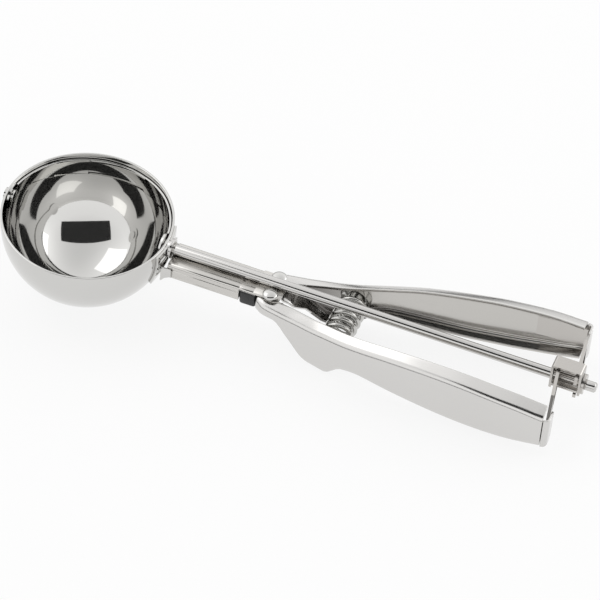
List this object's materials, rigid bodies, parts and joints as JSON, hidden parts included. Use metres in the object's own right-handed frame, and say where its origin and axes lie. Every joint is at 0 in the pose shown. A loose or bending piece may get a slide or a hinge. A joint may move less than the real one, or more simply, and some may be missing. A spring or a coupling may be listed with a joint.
{
  "type": "lever ice cream scoop",
  "caption": "Squeeze-handle disher with a hemispherical steel bowl, a sweeping scraper blade, a long axle rod, sprung channel handles and a rack-and-pinion drive.",
  "frame": {"origin": "centre of the bowl's sphere, on the axle of the rod", "axes": "+X along the rod to the rear end of the handles, +Y towards the user's right hand side, +Z out of the bowl's mouth"},
  "size_m": [0.2376, 0.066, 0.0405],
  "materials": {
    "polished_steel": "mirror-polished stainless steel",
    "satin_steel": "satin stainless steel",
    "black_nylon": "black moulded nylon"
  },
  "bodies": {
    "frame": {"bowl": "polished_steel", "bowl_saddle": "polished_steel", "saddle_rivets": "polished_steel", "axle_bush": "polished_steel", "stem_channel": "polished_steel", "pivot_block": "black_nylon", "scraper_rivet": "polished_steel", "rack_cage": "satin_steel", "right_pivot_rivet": "polished_steel", "left_pivot_rivet": "polished_steel", "right_pivot_washer": "black_nylon", "left_pivot_washer": "black_nylon", "return_spring": "satin_steel"},
    "scraper": {"scraper_blade": "polished_steel", "axle_rod": "polished_steel", "pinion": "satin_steel", "retaining_ring": "satin_steel"},
    "left_handle": {"left_handle": "polished_steel", "left_rack_arm": "satin_steel", "left_spring_seat": "satin_steel"},
    "right_handle": {"right_handle": "polished_steel", "right_rack_arm": "satin_steel", "right_spring_seat": "satin_steel"}
  },
  "joints": [
    {"name": "scraper_turn", "type": "hinge", "parent": "frame", "child": "scraper", "pos_m": [0, 0, 0], "axis": [1, 0, 0], "range_deg": [-145, 0]},
    {"name": "left_handle_pivot", "type": "hinge", "parent": "frame", "child": "left_handle", "pos_m": [0.0765, -0.0046, -0.0069], "axis": [0, 0, 1], "range_deg": [0, 4.66], "stiffness_Nm_per_rad": 2, "springref_deg": -5.73, "deforming": ["return_spring"]},
    {"name": "right_handle_pivot", "type": "hinge", "parent": "frame", "child": "right_handle", "pos_m": [0.0765, 0.0046, -0.0069], "axis": [0, 0, 1], "range_deg": [-4.37, 0], "stiffness_Nm_per_rad": 2, "springref_deg": 5.73, "deforming": ["return_spring"]}
  ],
  "couplings": [
    {"joint": "left_handle_pivot", "follows": "scraper_turn", "ratio": -0.032114},
    {"joint": "right_handle_pivot", "follows": "scraper_turn", "ratio": 0.030126}
  ]
}
